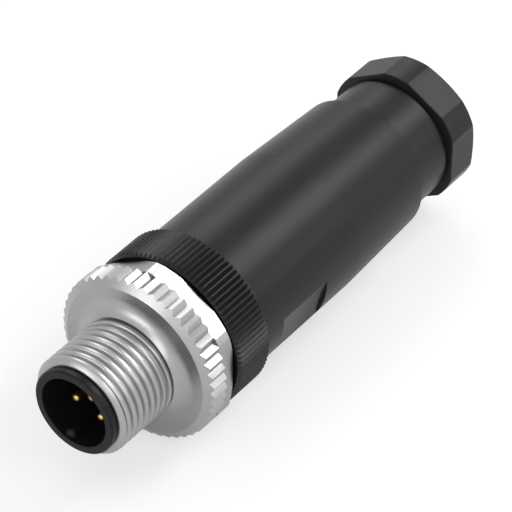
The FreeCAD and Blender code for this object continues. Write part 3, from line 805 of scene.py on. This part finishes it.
class PLUG_OT_stage(bpy.types.Operator):
    """Camera at the photograph's angle, pale floor, soft lamps and an even world"""
    bl_idname = "plug.stage"
    bl_label = "Stage"

    def execute(self, context):
        stage = context.scene.plug_stage
        self.add_camera(context, stage)
        self.add_floor(context, stage)
        self.add_lamps(context, stage)
        self.add_world(context, stage)
        context.scene.view_settings.view_transform = "Standard"
        return {"FINISHED"}

    def add_camera(self, context, stage):
        # Turn and place, in metres, that bring the plug's outline on to the photographed one.
        azimuth, elevation = math.radians(36.458), math.radians(39.643)
        place = (0.16010194, -0.19076493, 0.22317415)
        right = Vector((math.cos(azimuth), math.sin(azimuth), 0))
        up = Vector((-math.sin(azimuth) * math.sin(elevation), math.cos(azimuth) * math.sin(elevation),
                     math.cos(elevation)))
        backward = right.cross(up)
        camera = bpy.data.objects.new("camera", bpy.data.cameras.new("camera"))
        camera.data.lens = stage.lens
        camera.data.sensor_width = 36.0
        camera.data.clip_start = 0.01
        turn = Matrix((right, up, backward)).transposed().to_4x4()
        camera.matrix_world = Matrix.Translation(place) @ turn
        context.scene.collection.objects.link(camera)
        context.scene.camera = camera

    def add_floor(self, context, stage):
        just_below = BOX_BEFORE[0][2] - 0.02 * MM
        work = bmesh.new()
        bmesh.ops.create_grid(work, x_segments=8, y_segments=8, size=1.5,
                              matrix=Matrix.Translation((0, 0, just_below)))
        mesh = bpy.data.meshes.new("floor")
        work.to_mesh(mesh)
        work.free()
        floor = bpy.data.objects.new("floor", mesh)
        context.scene.collection.objects.link(floor)
        finish = Finish(bpy.data.materials.new("floor_card"))
        clouds = finish.noise(finish.position(), 3.0, 2.0, 0.5)
        tone = finish.blend(clouds, scaled(stage.floor, 0.99), scaled(stage.floor, 1.01))
        card = finish.node("ShaderNodeBsdfPrincipled", sockets={
            "Base Color": tone, "Roughness": 0.9, "Specular IOR Level": 0.1})
        glow = finish.node("ShaderNodeEmission", sockets={"Color": (1.0, 1.0, 1.0), "Strength": 1.0})
        mixed = finish.node("ShaderNodeMixShader", sockets={
            0: self.seen(finish, 0.2) * stage.floor_glow, 1: card, 2: glow})
        finish.node("ShaderNodeOutputMaterial", sockets={"Surface": mixed})
        mesh.materials.append(finish.owner)

    def add_lamps(self, context, stage):
        # Direction from the middle of the plug, distance, width and height in metres, and power in watts.
        lamps = {
            "lamp_right": ((0.38, 0.60, 0.69), 0.42, 0.18, 0.16, 0.72),
            "lamp_left": ((-0.52, 0.58, 0.62), 0.42, 0.16, 0.16, 0.27),
            "lamp_low": ((0.74, 0.60, 0.28), 0.42, 0.10, 0.13, 0.12),
            "lamp_front": ((-0.28, -0.90, 0.30), 0.45, 0.24, 0.12, 0.3),
            "lamp_camera": ((0.50, -0.75, 0.40), 0.45, 0.34, 0.20, 0.5),
            "lamp_side": ((0.77, 0.0, 0.64), 0.42, 0.12, 0.16, 0.2),
            "lamp_top": ((-0.45, 0.06, 0.89), 0.42, 0.10, 0.12, 0.1),
        }
        middle = Vector((0, 22 * MM, 0))
        for name, (direction, distance, width, height, power) in lamps.items():
            light = bpy.data.lights.new(name, "AREA")
            light.shape = "RECTANGLE"
            light.size, light.size_y = width, height
            light.energy = power * stage.lamp_strength
            lamp = bpy.data.objects.new(name, light)
            lamp.location = middle + Vector(direction).normalized() * distance
            lamp.rotation_euler = (middle - lamp.location).to_track_quat("-Z", "Y").to_euler()
            lamp.visible_camera = False
            context.scene.collection.objects.link(lamp)

    def seen(self, finish, mirrored=1.0):
        """1 for the camera's rays, and the share `mirrored` for those off metal or through glass."""
        rays = finish.node("ShaderNodeLightPath")
        shown = rays.sibling("Is Camera Ray")
        for kind in ("Is Glossy Ray", "Is Transmission Ray"):
            shown = shown.at_least(rays.sibling(kind) * mirrored)
        return shown

    def add_world(self, context, stage):
        world = bpy.data.worlds.new("studio")
        context.scene.world = world
        finish = Finish(world)
        shown = self.seen(finish)
        background = finish.node("ShaderNodeBackground", sockets={
            "Color": (1.0, 1.0, 1.0), "Strength": shown + (1 - shown) * stage.daylight})
        finish.node("ShaderNodeOutputWorld", sockets={"Surface": background})


STEPS = (PLUG_OT_coupling_thread, PLUG_OT_coupling_flange, PLUG_OT_carrier, PLUG_OT_collar,
         PLUG_OT_sleeve, PLUG_OT_gland_nut, PLUG_OT_inner_pieces, PLUG_OT_stage)


class PLUG_PT_panel(bpy.types.Panel):
    """Lists the steps that dress the plug"""
    bl_idname = "PLUG_PT_panel"
    bl_label = "Cable plug"
    bl_space_type = "VIEW_3D"
    bl_region_type = "UI"
    bl_category = "Cable plug"

    def draw(self, context):
        for group in GROUPS:
            settings = getattr(context.scene, group)
            for name in settings.bl_rna.properties.keys():
                if name not in ("rna_type", "name"):
                    self.layout.prop(settings, name)
        for step in STEPS:
            self.layout.operator(step.bl_idname)


GROUPS = {"plug_coupling": CouplingSizes, "plug_body": BodySizes, "plug_finishes": FinishSettings,
          "plug_stage": StageSettings}


def register():
    for name, group in GROUPS.items():
        bpy.utils.register_class(group)
        setattr(bpy.types.Scene, name, PointerProperty(type=group))
    for item in (*STEPS, PLUG_PT_panel):
        bpy.utils.register_class(item)


def unregister():
    for item in (PLUG_PT_panel, *reversed(STEPS)):
        bpy.utils.unregister_class(item)
    for name, group in reversed(GROUPS.items()):
        delattr(bpy.types.Scene, name)
        bpy.utils.unregister_class(group)


def main():
    """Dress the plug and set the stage."""
    register()
    for step in STEPS:
        area, name = step.bl_idname.split(".")
        getattr(getattr(bpy.ops, area), name)()


if __name__ == "__main__":
    main()
